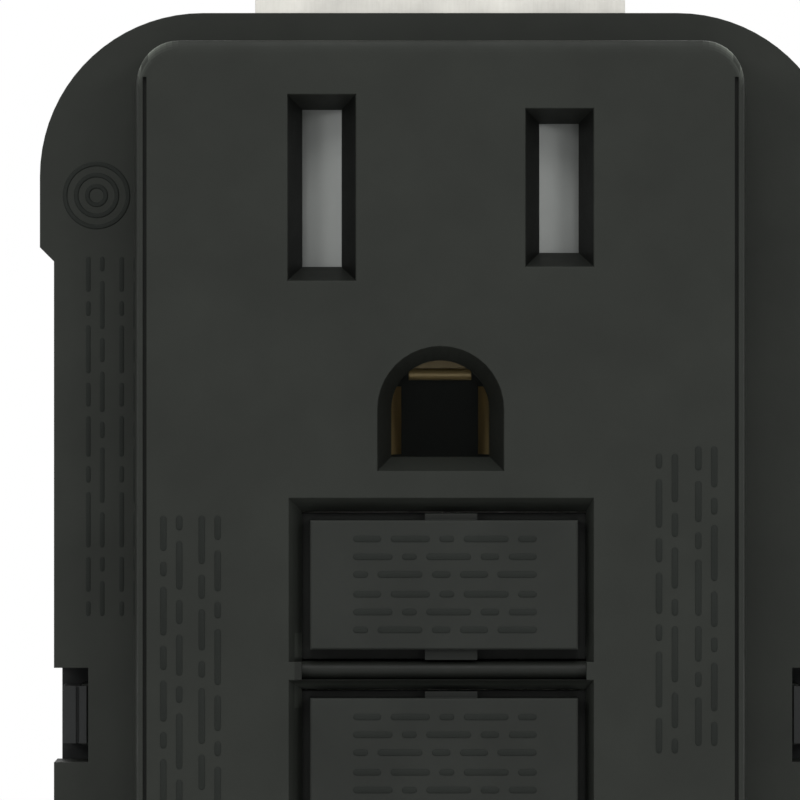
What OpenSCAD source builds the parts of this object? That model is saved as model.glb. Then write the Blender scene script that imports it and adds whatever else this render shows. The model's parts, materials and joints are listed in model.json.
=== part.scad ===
// Duplex receptacle with ground-fault protection, decorator pattern, as an assembly.
// X is to the right seen from the front, Y points into the wall box, Z is up. Millimetres.
// The origin is midway between the mounting screws, on the rear of the mounting strap.

/* [Face] */
// Width of the raised face at its base
face_w = 33; // [32.6:0.1:36]
// Height of the raised face
face_h = 67.4; // [66:0.1:69]
// Corner radius of the raised face
face_r = 2.5; // [1.8:0.1:4]
// From the rear of the strap to the front of the face
face_proj = 7.2; // [6.8:0.1:9]
// Thickness of the front wall
face_wall = 2; // [1.6:0.1:2.3]
// Radius of the rounded front edge
face_edge = 0.25; // [0.2:0.05:0.5]
// Length of the easing at the upper and lower ends of the front
end_edge = 0.8; // [0.3:0.05:1]
// How far the left and right sides of the face draw in from base to front
face_draft = 0.3; // [0:0.05:0.6]
// How far its upper and lower ends draw in
end_draft = 0.05; // [0:0.05:0.4]
// Width of the fine groove beside the left and right edges of the front
groove_w = 0.2; // [0.1:0.05:0.3]

/* [Outlets] */
// Height of the upper blade slots above the centre
slot_line = 25.8; // [25.6:0.1:26]
// Distance between the two outlets
outlet_pitch = 41; // [40.8:0.1:41.2]
// Distance between the two blade slots
blade_gap = 12.7; // [12.4:0.1:13]
// Width of a blade slot
slot_w = 2.1; // [1.8:0.1:2.3]
// Height of the neutral slot
neutral_slot_h = 8.4; // [8:0.1:8.8]
// Height of the hot slot
hot_slot_h = 6.9; // [6.6:0.1:8]
// Width of the sunk border round a blade slot
slot_border = 0.8; // [0.4:0.05:0.9]
// From the blade slots down to the ground hole
ground_drop = 11.8; // [11.6:0.1:12]
// Width of the ground hole
ground_w = 5.3; // [5.2:0.1:5.6]
// Width of the sunk border round the ground hole
ground_border = 0.75; // [0.5:0.05:1]

/* [Buttons] */
// Width of both button caps
button_w = 14.3; // [12:0.1:15]
// Height of both button caps
button_h = 6.9; // [6.4:0.02:7]
// How far both caps stand to the right of the centre line
button_x = 0.18; // [0:0.01:0.25]
// Gap round a button cap
button_gap = 0.45; // [0.3:0.05:0.5]
// Extra gap below the reset cap
reset_low_gap = 0.22; // [0:0.02:0.4]
// Height of the ridge between the two buttons
ridge_h = 0.95; // [0.8:0.05:1.2]
// Width of the slope above the reset cap
top_border = 0.75; // [0.4:0.05:0.9]
// Width of the slope to the left of both caps
left_border = 0.7; // [0.4:0.05:0.9]
// Width of the slope to the right of both caps
right_border = 0.4; // [0.3:0.05:0.9]
// Width of the slopes above and below the test cap
test_border = 0.53; // [0.3:0.01:0.7]
// Width of the guide rib in the middle of a cap's upper and lower edge
cap_rib_w = 2.8; // [2:0.1:4]
// Depth of the slope round a button opening
button_slope = 1.5; // [0.8:0.1:1.6]
// How far the ridge between the buttons lies behind the face
ridge_drop = 0.5; // [0.2:0.1:0.9]
// Depth of a button cap
button_d = 2.7; // [2.4:0.1:3]
// Travel of the reset button
reset_travel = 3; // [2.6:0.1:3.2]
// Travel of the test button
test_travel = 1.5; // [1:0.1:1.6]

/* [Flange] */
// Width of the flange at its corners
flange_w = 43.22; // [43:0.02:45]
// Height of the flange
flange_h = 70.7; // [70.2:0.1:72]
// Corner radius of the flange
flange_r = 8.8; // [7:0.02:10]
// How far the waist of the flange is cut in on each side
waist_cut = 0.76; // [0.3:0.02:0.9]
// Height at which the waist ends
waist_z = 22.7; // [20:0.1:25]
// Thickness of the flange in front of the strap
flange_lip = 0.75; // [0.6:0.05:1.2]
// Depth of the cover's skirt behind the strap
skirt_d = 3; // [2.5:0.1:4]
// Upper end of the hook notch in the left and right edges
hook_top = 0; // [-1:0.1:1]
// Height of the hook notch
hook_h = 5.1; // [4:0.1:6]
// Space above and below the hook in its notch
hook_space = 1; // [0.6:0.1:1.2]

/* [Strap] */
// Length of the mounting strap
strap_l = 104.8; // [104:0.1:107]
// Width of the strap where it leaves the housing
strap_end_w = 20; // [18:0.5:21]
// Width of the strap inside the cover
strap_mid_w = 26; // [25.4:0.2:27]
// Thickness of the strap
strap_t = 1.25; // [1:0.05:1.5]
// Distance between the mounting screws
mount_pitch = 83.34; // [82.5:0.02:84]
// Distance between the tapped holes for the wall plate
plate_pitch = 96.84; // [96:0.02:98]
// Radius of a tapped wall-plate hole
plate_hole_r = 1.45; // [1.3:0.05:1.6]
// Length of a mounting slot
mount_slot_l = 7.5; // [6:0.1:9]
// Radius of a plaster ear
ear_r = 5.2; // [4.6:0.1:5.6]
// Distance of the ears from the centre line
ear_x = 11.4; // [10.8:0.1:12]
// Reach of the ground tab behind the strap
tab_d = 9.5; // [9.2:0.1:12]

/* [Housing] */
// Width of the rear housing
case_w = 41.2; // [40.8:0.1:42]
// Height of the rear housing
case_h = 69.2; // [68.8:0.1:70.5]
// Depth of the rear housing behind the strap
case_d = 26; // [25:0.1:30]
// Corner radius of the rear housing
case_r = 8; // [7:0.1:8.6]
// Side wall of the rear housing
case_wall = 1.8; // [1.4:0.1:2]
// Rear wall of the rear housing
case_floor = 1.5; // [1.2:0.1:2]
// Depth of the separator
tray_d = 12.5; // [12:0.1:13.5]
// Space between the separator and the pressure plates
tray_space = 1.4; // [1.2:0.1:2]
// Rear wall of the separator
tray_floor = 1.5; // [1.2:0.1:1.8]
// Wall of the separator
tray_wall = 1.2; // [0.8:0.1:1.4]

/* [Screws] */
// Thread radius of the mounting screws
mount_screw_r = 1.75; // [1.6:0.05:1.85]
// Length of a mounting screw under its head
mount_screw_l = 22; // [16:0.5:30]
// Head radius of the mounting screws
mount_head_r = 3.6; // [3:0.1:4]
// Thickness of a retaining washer
retainer_t = 0.4; // [0.2:0.05:0.45]
// Shank radius of the assembly screws
case_screw_r = 1.25; // [1:0.05:1.4]
// Shank radius of the terminal screws and the ground screw
term_screw_r = 2.05; // [1.7:0.05:2.1]
// Head radius of the terminal screws
term_head_r = 3.9; // [3.4:0.1:4.4]
// Head radius of the ground screw
ground_head_r = 3.6; // [3.2:0.1:3.8]

/* [Contacts] */
// Thickness of the outlet contact strip
strip_t = 0.8; // [0.6:0.05:0.9]
// Thickness of the contact tines
tine_t = 0.5; // [0.4:0.05:0.6]
// Thickness of the ground contacts
ground_t = 0.6; // [0.5:0.05:0.7]
// Height of the terminals above or below the centre
term_z = 15.5; // [15.2:0.1:15.8]
// Depth of the terminal screws behind the strap
term_y = 12; // [11.8:0.1:12.3]
// Thickness of a terminal plate
term_t = 1; // [0.8:0.1:1.1]
// Thickness of the thinnest wire that a pressure plate holds
wire_min = 0.8; // [0.6:0.1:1]
// Travel of a pressure plate
clamp_travel = 1.6; // [1.4:0.1:1.8]

/* [Mechanism] */
// Gap of the open switch contacts
contact_gap = 1.6; // [1.2:0.1:1.8]
// Radius of a switch contact
contact_r = 1.2; // [0.9:0.1:1.3]
// Thickness of the moving contact arms
arm_t = 0.4; // [0.3:0.05:0.45]
// Radius of the reset pin
pin_r = 1.3; // [1:0.05:1.4]
// Thickness of the latch plate
latch_t = 0.6; // [0.5:0.05:0.7]
// Travel of the latch plate
latch_travel = 1.2; // [1:0.05:1.3]
// Length of the solenoid winding with its end flanges
coil_l = 11; // [9:0.5:12]
// Radius of the plunger
plunger_r = 1.4; // [1.1:0.05:1.5]
// Stroke of the plunger
plunger_stroke = 3; // [2:0.1:3.2]

/* [Electronics] */
// Thickness of the circuit board
board_t = 1.2; // [1:0.1:1.6]
// Space behind the circuit board
board_gap = 2.3; // [1.8:0.1:3]
// Outer radius of the toroid case
toroid_case_r = 7.4; // [6.8:0.1:7.6]
// Height of the toroids below the centre
toroid_z = 17; // [16.8:0.1:17.4]
// Radius of the hole through the toroid case
toroid_hole_r = 2.6; // [2.2:0.1:3]

/* [Clearances] */
// Clearance between parts that seat in each other
seat_gap = 0.1; // [0.05:0.01:0.15]
// Clearance round parts that slide
slide_gap = 0.1; // [0.05:0.01:0.15]
// Clearance round screws and pins
pin_gap = 0.05; // [0.03:0.01:0.08]

/* [Hidden] */
$fn = 64;

BLACK = [0.2, 0.21, 0.2];
DARK = [0.16, 0.17, 0.17];
GREY = [0.62, 0.63, 0.61];
STEEL = [0.72, 0.72, 0.7];
BRASS = [0.78, 0.62, 0.28];
COPPER = [0.72, 0.42, 0.22];
GREEN = [0.16, 0.5, 0.25];

// Depths along Y, from the front to the rear
y_face = -face_proj;
y_face_in = y_face + face_wall;
y_strap = -strap_t;
y_flange = y_strap - flange_lip;
y_case_in = case_d - case_floor;
y_board_rear = y_case_in - board_gap;
y_board = y_board_rear - board_t;
y_tray = tray_d - tray_floor;
y_strip_rear = y_tray - 0.7;
y_strip = y_strip_rear - strip_t;
y_fixed = y_strip_rear + 0.8;
y_arm = y_fixed + contact_gap + pin_gap + 0.9;
y_arm_rear = y_arm + arm_t;
y_coil = (tray_d + y_board) / 2;
y_latch = y_coil - 0.1;
y_latch_rear = y_latch + latch_t;
y_lifter = tray_d + contact_gap + slide_gap;
y_lifter_rear = y_latch_rear + 1.2;
y_tower = 1.2;
y_blade = 0.4;
blade_t = 0.3;
test_post_x = 2;
y_cap_in = y_face + 1.3;
y_cap_rear = y_face + button_d;

// Heights along Z
outlets = [slot_line, slot_line - outlet_pitch];
grounds = [slot_line - ground_drop, slot_line - outlet_pitch - ground_drop];

// Outlet and shutter sizes
blade_x = blade_gap / 2;
ground_base = 2.6;
ground_tine_z = 1.55;
shutter_in = blade_x - slot_w / 2 - 0.7;
shutter_out = blade_x + slot_w / 2 + 0.6;
shutter_z = neutral_slot_h / 2 + 0.45;
shutter_rail = 0.45;
shutter_base = 0.9;
y_shutter = y_face_in + slide_gap;
y_shutter_rear = y_strap - shutter_base - slide_gap;
shutter_spring_r = 1;
well_wall = 0.7;
well_x = 1.9;
well_z = neutral_slot_h / 2 + 0.2;
strap_slot_z = well_z + 0.1;

// Buttons and the openings round them
open_w = button_w + 2 * button_gap;
cap_half = button_h / 2;
reset_z = ridge_h / 2 + reset_low_gap + button_gap + cap_half;
test_z = -ridge_h / 2 - test_border - button_gap - cap_half;
reset_open = [ridge_h / 2, reset_z + cap_half + button_gap];
test_open = [test_z - cap_half - button_gap, -ridge_h / 2 - test_border];
cap_rib_x = 0.38;
cap_bevel = 0.08;
cap_rib_drop = 0.45;
cap_ear = 0.8;
guide_x = button_w / 2 + cap_ear + 0.25;
guide_wall = 0.9;
cap_wall = 0.9;
spring_r = 2.15;
spring_wire = 0.25;
strap_hole = spring_r + spring_wire + 0.5;
tower_r = 3.3;
collar_r = pin_r + 1.1;

// Strap, cover and housing
pocket_x = strap_mid_w / 2 + 1.6;
pocket_z = face_h / 2 - 1.8;
case_in_x = case_w / 2 - case_wall;
case_in_z = case_h / 2 - case_wall;
case_in_r = case_r - case_wall;
boss_r = 3.2;
boss_x = case_w / 2 - 4;
boss_z = case_h / 2 - 4.6;
hook_t = 0.9;
hook_out = case_w / 2 - 0.2;
hook_in = hook_out - hook_t;
hook_barb = 0.4;
hook_groove = 0.18;
hook_span = [hook_top - hook_h + hook_space, hook_top - hook_space];
y_ledge = y_flange + 1.15;
y_hook = y_flange + 0.8;
groove_x = face_w / 2 - face_draft - face_edge - 0.05 - groove_w;
groove_z = face_h / 2 - face_r + 0.5;
groove_d = 0.25;
tab_x = strap_end_w / 2 + 2.2;
tab_z = mount_pitch / 2 - 1.47;
tab_h = 7.6;
bend_r = 1.6;
tray_z = case_in_z - 0.6;
ear_z = strap_l / 2 - ear_r;
ear_hole_r = 1.4;
score_x = strap_end_w / 2 - 1.7;
score_w = 0.5;
score_d = 0.4;
mount_slot_r = mount_screw_r + 0.2;
mount_core_r = mount_screw_r - 0.1;
rivet_x = 5.6;
rivet_r = 0.9;
ledge_z = 23.5;
lead_in = 0.5;
panel_w = case_w - 20;
panel_h = 34;
panel_r = 1.5;
panel_d = 0.3;
gauge_l = 14;
gauge_w = 2.2;
gauge_d = 0.5;
gauge_z = panel_h / 2 + 5;

// Terminals
term_plate = case_in_x - 0.6 - term_t;
wire_gap = wire_min + clamp_travel;
clamp_rear = term_plate - wire_gap;
clamp_t = 1;
clamp_half = 3.7;
term_half = 4.85;
rib_t = 1.2;
wire_r = 1.3;
tray_x = clamp_rear - clamp_t - tray_space;
wire_z = term_screw_r + 1.25;
tab_y = term_y - clamp_half - 1.9;
riser_x = blade_x + well_x + 0.1;

// Switch arms, lifter, latch, solenoid
arm_x = blade_x + 0.65;
arm_half = 1.7;
contact_z = 1.2;
neck_r = pin_r - 0.5;
shoulder_y = y_latch_rear + 0.2 - reset_travel;
pin_tip = 1.2;
keyhole_r = pin_r + 0.3;
keyslot = neck_r + 0.15;
latch_x = 2.8;
latch_low = reset_z - 3;
latch_top = reset_z + 4;
lifter_x = 4.4;
wing_x = lifter_x - 0.5;
lifter_low = latch_low - 2.6;
lifter_top = reset_z + 3.1;
coil_r = (y_board - tray_d) / 2 - 0.6;
coil_low = latch_top + plunger_stroke + 1.9;
frame_t = 0.5;
frame_x = coil_r + 0.55;
plunger_tip = latch_top + plunger_stroke + seat_gap;
plunger_head = coil_low + coil_l + frame_t + plunger_stroke + 1;
fine_wire = 0.12;

// Toroids
toroid_wall = 0.6;
toroid_gap = 0.4;
toroid_front = y_arm_rear + 0.5;
toroid_t = (y_board - 0.1 - toroid_front - 2 * toroid_wall - toroid_gap) / 2;

// Circuit board parts
board_x = term_plate - wire_gap - 0.3;
board_z = tray_z - 1.7;
board_in_x = tray_x;
board_in_z = boss_z - 4;
stake_x = board_in_x - 1.8;
stake_z = board_z - 1.3;
chip_x = board_x - 3.3;
diode_x = board_x - 3.1;
disc_x = board_in_x - 2.8;
can_x = board_in_x - 1.8;
row_z = [for (i = [0:3]) 2.4 * i - 6];

// ---- shapes that repeat ----

module block(x, y, z) {
  translate([x[0], y[0], z[0]]) cube([x[1] - x[0], y[1] - y[0], z[1] - z[0]]);
}

// An outline drawn in the XZ plane, made solid from y0 to y1
module slab(y0, y1) {
  translate([0, y1, 0]) rotate([90, 0, 0]) linear_extrude(y1 - y0) children();
}

// A profile drawn in the XY plane, made solid from z0 to z1
module prism(z0, z1) {
  translate([0, 0, z0]) linear_extrude(z1 - z0) children();
}

module rod_x(r, x0, x1) {
  translate([x0, 0, 0]) rotate([0, 90, 0]) cylinder(h = x1 - x0, r = r);
}

module rod_y(r, y0, y1) {
  translate([0, y0, 0]) rotate([-90, 0, 0]) cylinder(h = y1 - y0, r = r);
}

module rod_z(r, z0, z1) {
  translate([0, 0, z0]) cylinder(h = z1 - z0, r = r);
}

module rounded(w, h, r) {
  square([w - 2 * r, h], center = true);
  square([w, h - 2 * r], center = true);
  for (x = [-1, 1], z = [-1, 1]) translate([x * (w / 2 - r), z * (h / 2 - r)]) circle(r);
}

// The right-hand side, or its mirror image on the left
module on_side(side) {
  mirror([side < 0 ? 1 : 0, 0, 0]) children();
}

module both_sides() {
  for (side = [-1, 1]) on_side(side) children();
}

module both_ends() {
  for (end = [0, 1]) mirror([0, 0, end]) children();
}

// A four-sided funnel between two openings, each given as [left, right, bottom, top]
module funnel(front, rear, y0, y1) {
  intersection() {
    prism(min(front[2], rear[2]), max(front[3], rear[3]))
      polygon([[front[0], y0], [front[1], y0], [rear[1], y1], [rear[0], y1]]);
    translate([min(front[0], rear[0]), 0, 0]) rotate([90, 0, 90])
      linear_extrude(max(front[1], rear[1]) - min(front[0], rear[0]))
        polygon([[y0, front[2]], [y0, front[3]], [y1, rear[3]], [y1, rear[2]]]);
  }
}

// Outline of the ground hole: round at the top and flat at the bottom
module ground_outline(grow) {
  half = ground_w / 2 + grow;
  centre = -0.05;
  low = -ground_base - grow;
  intersection() {
    translate([0, centre]) circle(half);
    translate([-half, low]) square(2 * half);
  }
  translate([-half, low]) square([2 * half, centre - low]);
}

// One ring of the wire's outline, then a round-wire spring along +Z from 0 to len
function wire_ring(at, out, wire) =
  [for (k = [0:5]) at + wire * (cos(60 * k) * out + sin(60 * k) * [0, 0, 1])];

module coil_spring(r, wire, len, turns) {
  steps = 12 * turns;
  rings = [for (i = [0:steps])
    let (a = 30 * i, out = [cos(a), sin(a), 0])
      wire_ring(r * out + [0, 0, wire + (len - 2 * wire) * i / steps], out, wire)];
  points = [for (ring = rings) each ring];
  sides = [for (i = [0:steps - 1], k = [0:5])
    let (a = 6 * i + k, b = 6 * i + (k + 1) % 6) each [[a, b, b + 6], [a, b + 6, a + 6]]];
  caps = [[5, 4, 3, 2, 1, 0], [for (k = [0:5]) 6 * steps + k]];
  polyhedron(points, concat(sides, caps));
}

// A screw along +Y with its head in front of y = 0, and a crossed slot in the head
module screw(shank_r, shank_l, head_r, head_h) {
  difference() {
    union() {
      rotate([-90, 0, 0]) rotate_extrude()
        polygon(concat([[0, 0], [head_r, 0], [head_r, -0.4 * head_h]],
          [for (a = [15:15:75]) [head_r * cos(a), -head_h * (0.4 + 0.6 * sin(a))]],
          [[0, -head_h]]));
      rod_y(shank_r, 0, shank_l - shank_r);
      translate([0, shank_l - shank_r, 0]) rotate([-90, 0, 0])
        cylinder(h = shank_r, r1 = shank_r, r2 = shank_r / 2);
    }
    block([-0.75 * head_r, 0.75 * head_r], [-head_h - 1, -0.45 * head_h], [-0.45, 0.45]);
    block([-0.45, 0.45], [-head_h - 1, -0.3 * head_h], [-0.5 * head_r, 0.5 * head_r]);
  }
}

// ---- casing ----

module flange_outline() {
  half = flange_w / 2;
  over = 1;
  difference() {
    rounded(flange_w, flange_h, flange_r);
    for (side = [-1, 1]) {
      polygon([[side * (half + over), -waist_z - over],
        [side * (half - waist_cut), waist_cut - waist_z],
        [side * (half - waist_cut), waist_z - waist_cut],
        [side * (half + over), waist_z + over]]);
      polygon([[side * (half + over), hook_top + 0.4 + over],
        [side * hook_out, hook_top - waist_cut + 0.4],
        [side * hook_out, hook_top - hook_h - 0.4 + waist_cut],
        [side * (half + over), hook_top - hook_h - 0.4 - over]]);
    }
  }
}

module face_form() {
  steps = 7;
  hull() {
    for (i = [0:steps]) {
      a = 90 * i / steps;
      inset = face_edge * (1 - sin(a));
      front_w = face_w - 2 * (face_draft + inset);
      front_h = face_h - 2 * (end_draft + end_edge * (1 - sin(a)));
      depth = y_face + face_edge * (1 - cos(a));
      slab(depth, depth + 0.02) rounded(front_w, front_h, face_r - face_draft - inset, $fn = 40);
    }
    slab(y_flange - 0.02, y_flange) rounded(face_w, face_h, face_r, $fn = 40);
  }
}

module blade_slot(x, z, h) {
  half_w = slot_w / 2;
  out_w = half_w + slot_border;
  out_h = h / 2 + slot_border;
  translate([x, 0, z])
    funnel([-out_w, out_w, -out_h, out_h], [-half_w, half_w, -h / 2, h / 2], y_face - 0.01, y_face_in + 0.01);
}

// One opening, with the width of its slope below and above
module button_opening(z, border) {
  funnel([-open_w / 2 - left_border, open_w / 2 + right_border, z[0] - border[0], z[1] + border[1]],
    [-open_w / 2, open_w / 2, z[0], z[1]], y_face - 0.01, y_face + button_slope);
  block([-open_w / 2, open_w / 2], [y_face, y_strap], z);
  block([-guide_x, guide_x], [y_face_in, y_strap], z);
}

module button_openings() {
  translate([button_x, 0, 0]) {
    button_opening(reset_open, [0, top_border]);
    button_opening(test_open, [test_border, test_border]);
    block([-open_w / 2, open_w / 2], [y_face - 1, y_face + ridge_drop + ridge_h / 2],
      [-ridge_h / 2, ridge_h / 2]);
  }
}

module button_guides() {
  translate([button_x, 0, 0])
    block([-guide_x - guide_wall, guide_x + guide_wall], [y_face_in, y_strap - seat_gap],
      [test_open[0] - guide_wall, reset_open[1] + guide_wall]);
  for (z = grounds)
    translate([0, 0, z]) slab(y_face_in, y_strap - seat_gap) ground_outline(0.8);
}

module front_cover() {
  ridge_r = ridge_h / 2;
  color(BLACK) {
    difference() {
      union() {
        difference() {
          union() {
            face_form();
            slab(y_flange, skirt_d) flange_outline();
          }
          slab(y_face_in, 0.01) rounded(2 * pocket_x, 2 * pocket_z, 1.2);
          difference() {
            slab(0, skirt_d + 1) rounded(2 * case_in_x, 2 * case_in_z, case_in_r);
            both_sides() both_ends() translate([boss_x, 0, boss_z]) rod_y(boss_r, -1, skirt_d + 2);
          }
        }
        button_guides();
      }
      both_ends() block([-strap_end_w / 2 - seat_gap, strap_end_w / 2 + seat_gap],
        [y_strap, skirt_d + 1], [pocket_z - 1, flange_h / 2 + 1]);
      for (z = outlets) {
        blade_slot(-blade_x, z, neutral_slot_h);
        blade_slot(blade_x, z, hot_slot_h);
      }
      for (z = grounds) translate([0, 0, z]) {
        hull() {
          slab(y_face - 0.02, y_face - 0.01) ground_outline(ground_border, $fn = 40);
          slab(y_face_in, y_face_in + 0.01) ground_outline(0, $fn = 40);
        }
        slab(y_face_in, y_strap) ground_outline(0);
      }
      button_openings();
      both_sides() both_ends() translate([boss_x, 0, boss_z])
        rod_y(case_screw_r + pin_gap, -0.8, skirt_d + 1);
      both_sides() {
        block([hook_in - seat_gap, flange_w], [y_flange - 1, skirt_d + 1],
          [hook_top - hook_h, hook_top]);
        block([hook_in - hook_barb - seat_gap, flange_w], [y_flange - 1, y_ledge],
          [hook_top - hook_h, hook_top]);
        for (z = [hook_top - hook_h, hook_top - hook_space + seat_gap])
          block([case_in_x - 1, flange_w], [y_ledge - 0.01, skirt_d + 1], [z, z + hook_space - seat_gap]);
      }
      both_sides() block([groove_x, groove_x + groove_w], [y_face - 1, y_face + groove_d],
        [-groove_z, groove_z]);
    }
    translate([button_x, y_face + ridge_drop + ridge_r, 0]) rod_x(ridge_r, -guide_x, guide_x);
    translate([button_x, 0, 0])
      block([-guide_x, guide_x], [y_face + ridge_drop + ridge_r, y_face_in + 0.5], [-ridge_r, ridge_r]);
  }
}

module housing_walls() {
  edge = 1;
  difference() {
    union() {
      slab(skirt_d, case_d - edge) rounded(case_w, case_h, case_r);
      slab(case_d - edge, case_d) rounded(case_w - edge, case_h - edge, case_r - edge / 2);
    }
    slab(skirt_d - 1, y_case_in) rounded(2 * case_in_x, 2 * case_in_z, case_in_r);
  }
}

module rear_housing() {
  rib_in = board_x + 0.2;
  color(DARK) difference() {
    union() {
      housing_walls();
      both_sides() both_ends() {
        translate([boss_x, 0, boss_z]) rod_y(boss_r, skirt_d, case_d - 1);
        block([rib_in, case_in_x + 0.5], [tray_d, case_d - 1], [ledge_z - 1, ledge_z + 1]);
        for (edge = [-1, 1])
          block([rib_in, case_in_x + 0.5], [term_y - term_half - 2, case_d - 1],
            [term_z + edge * (term_half + seat_gap + rib_t / 2) - rib_t / 2,
              term_z + edge * (term_half + seat_gap + rib_t / 2) + rib_t / 2]);
        translate([stake_x, 0, stake_z]) {
          rod_y(1.5, y_board_rear, case_d - 1);
          rod_y(0.8, y_board - 0.5, case_d - 1);
        }
      }
      both_ends() block([-strap_end_w / 2, strap_end_w / 2], [0, skirt_d + 1], [case_in_z, case_h / 2]);
      both_sides() {
        block([hook_in, hook_out], [y_hook, skirt_d + 1], hook_span);
        block([hook_in - hook_barb, hook_out], [y_hook, y_ledge - seat_gap], hook_span);
        block([hook_in + hook_groove, hook_out], [y_hook - 0.3, y_hook + 0.1], hook_span);
        block([hook_in - hook_barb, hook_in], [y_hook - 0.4, y_hook + 0.1], hook_span);
      }
    }
    both_sides() both_ends() {
      translate([boss_x, 0, boss_z]) {
        rod_y(case_screw_r + 0.2, skirt_d - 1, case_d + 1);
        rod_y(2.5, case_d - 1.9, case_d + 1);
      }
      block([case_in_x - 0.3, case_w], [term_y - term_half, term_y + term_half],
        [term_z - term_half, term_z + term_half]);
      for (edge = [-1, 1])
        translate([clamp_rear + wire_gap / 2, 0, term_z + edge * wire_z])
          for (step = [0, 1]) let (r = wire_r + step * lead_in)
            block([-r, r], [step > 0 ? case_d - lead_in : y_case_in - 1, case_d + 1], [-r, r]);
    }
    slab(case_d - panel_d, case_d + 1) rounded(panel_w, panel_h, panel_r);
    for (z = [-1, 1]) translate([0, 0, z * gauge_z]) slab(case_d - gauge_d, case_d + 1) {
      square([gauge_l - gauge_w, gauge_w], center = true);
      translate([gauge_w / 2 - gauge_l / 2, 0]) circle(gauge_w / 2);
    }
  }
}

module contact_well() {
  difference() {
    block([blade_x - well_x - well_wall, blade_x + well_x + well_wall], [1, y_tray],
      [-well_z - well_wall, well_z + well_wall]);
    block([blade_x - well_x, blade_x + well_x], [0, y_tray + 1], [-well_z, well_z]);
  }
}

module separator() {
  color([0.3, 0.3, 0.29]) difference() {
    union() {
      difference() {
        slab(0, tray_d) square([2 * tray_x, 2 * tray_z], center = true);
        slab(-1, y_tray) square([2 * (tray_x - tray_wall), 2 * (tray_z - tray_wall)], center = true);
      }
      for (z = outlets) translate([0, 0, z]) both_sides() difference() {
        contact_well();
        block([blade_x - well_x, blade_x + well_x + 1], [y_strip - seat_gap, y_tray + 1], [-9, 9]);
      }
      translate([0, 0, reset_z]) rod_y(tower_r, y_tower, y_tray);
      block([-tray_x + tray_wall / 2, -tray_x + 3.6], [y_blade + blade_t, y_tray],
        [test_z - 1.6, test_z + 1.6]);
      translate([-tray_x + 2.4, 0, test_z]) rod_y(0.5, y_blade - 0.2, y_tray);
      both_sides() both_ends() block([tray_x - 0.1, tray_x + 3.6], [y_tray, tray_d],
        [ledge_z - 0.7, ledge_z + 0.7]);
    }
    translate([0, 0, reset_z]) {
      rod_y(pin_r + 0.2, 0, tray_d + 1);
      rod_y(collar_r + slide_gap, tray_d - contact_gap - 1, tray_d + 1);
    }
    both_sides() {
      block([wing_x - slide_gap, arm_x + arm_half + 0.4], [y_tray - 1, tray_d + 1],
        [contact_z - contact_r - 0.5, lifter_top]);
      block([tray_x - 2, tray_x + 1], [tab_y - seat_gap, tab_y + strip_t + seat_gap],
        [term_z - 3.1, term_z + 3.1]);
    }
    translate([test_post_x, 0, test_z]) rod_y(0.6, y_tray - 1, tray_d + 1);
  }
}

module assembly_screws() {
  color(STEEL) both_sides() both_ends() translate([boss_x, case_d - 1.9, boss_z])
    rotate([0, 0, 180]) screw(case_screw_r, case_d - 1.9 + 0.6, 2.2, 1.6);
}

// ---- mounting ----

module strap_outline() {
  difference() {
    union() {
      square([strap_end_w, strap_l - 2 * ear_r], center = true);
      square([strap_mid_w, 2 * pocket_z - 0.4], center = true);
      for (end = [-1, 1]) {
        translate([0, end * (strap_l / 2 - ear_r)]) square([strap_end_w - 4, 2 * ear_r], center = true);
        for (x = [-1, 1]) translate([x * ear_x, end * ear_z]) {
          circle(ear_r);
          translate([-x * ear_x / 2, 0]) square([ear_x, 4.4], center = true);
        }
      }
      translate([-tab_x + 0.6, -tab_z - tab_h / 2]) square([tab_x, tab_h]);
    }
    for (end = [-1, 1]) {
      translate([0, end * plate_pitch / 2]) circle(plate_hole_r);
      translate([0, end * mount_pitch / 2]) {
        square([mount_slot_l - 2 * mount_slot_r, 2 * mount_slot_r], center = true);
        for (x = [-1, 1]) translate([x * (mount_slot_l / 2 - mount_slot_r), 0]) circle(mount_slot_r);
      }
      for (x = [-1, 1]) translate([x * ear_x, end * ear_z]) circle(ear_hole_r);
    }
    for (z = [reset_z, test_z]) translate([0, z]) square(2 * strap_hole, center = true);
    for (z = outlets, x = [-1, 1]) translate([x * blade_x, z]) square([4.1, 2 * strap_slot_z], center = true);
    for (z = grounds) {
      translate([0, z - 0.1]) square([6.8, 6.8], center = true);
      for (x = [-1, 1]) translate([x * rivet_x, z]) circle(rivet_r + pin_gap);
    }
  }
}

// The ground tab turns back from the strap's lower left edge
module ground_tab() {
  inner = bend_r - strap_t;
  difference() {
    union() {
      prism(-tab_z - tab_h / 2, -tab_z + tab_h / 2) difference() {
        translate([-tab_x + bend_r, y_strap + bend_r]) circle(bend_r);
        translate([-tab_x + bend_r, y_strap + bend_r]) circle(inner);
        translate([-tab_x + bend_r, -9]) square([9, 18]);
        translate([-tab_x - 9, y_strap + bend_r]) square([18, 9]);
      }
      block([-tab_x + bend_r, -strap_end_w / 2 + 1], [y_strap, 0], [-tab_z - tab_h / 2, -tab_z + tab_h / 2]);
      block([-tab_x, -tab_x + strap_t], [y_strap + bend_r, tab_d], [-tab_z - tab_h / 2, -tab_z + tab_h / 2]);
    }
    translate([0, tab_d - 4.1, -tab_z]) rod_x(term_screw_r + pin_gap, -tab_x - 1, -tab_x + strap_t + 1);
  }
}

module mounting_strap() {
  color(STEEL) {
    difference() {
      slab(y_strap, 0) strap_outline();
      both_sides() both_ends() block([score_x, score_x + score_w], [y_strap - 1, y_strap + score_d],
        [ear_z - ear_r, ear_z + ear_r]);
      block([-tab_x - 1, -tab_x + bend_r], [y_strap - 1, 1], [-tab_z - tab_h / 2 - 0.01, -tab_z + tab_h / 2]);
    }
    ground_tab();
  }
}

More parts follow.
